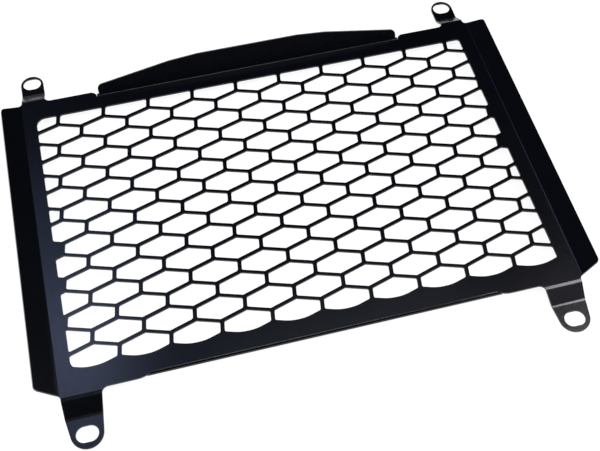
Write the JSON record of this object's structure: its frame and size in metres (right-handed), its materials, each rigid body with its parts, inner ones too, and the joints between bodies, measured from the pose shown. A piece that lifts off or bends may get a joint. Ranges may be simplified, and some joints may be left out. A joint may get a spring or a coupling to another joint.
{
  "type": "motorcycle radiator guard",
  "caption": "Flat black sheet-metal guard with a stretched hexagon mesh, folded side and top flanges, and stepped ears with bolt slots, to shield a motorcycle radiator.",
  "frame": {"origin": "middle of the outline, in the plane that the undersides of the four ear feet lie on", "axes": "+X across the guard to the viewer's right, +Y up its face towards the folded top flange, +Z out of its face, away from the radiator"},
  "size_m": [0.3154, 0.2534, 0.0208],
  "materials": {
    "radiator_guard": "satin black powder coat"
  },
  "bodies": {
    "root": {"radiator_guard": "radiator_guard"}
  },
  "joints": []
}
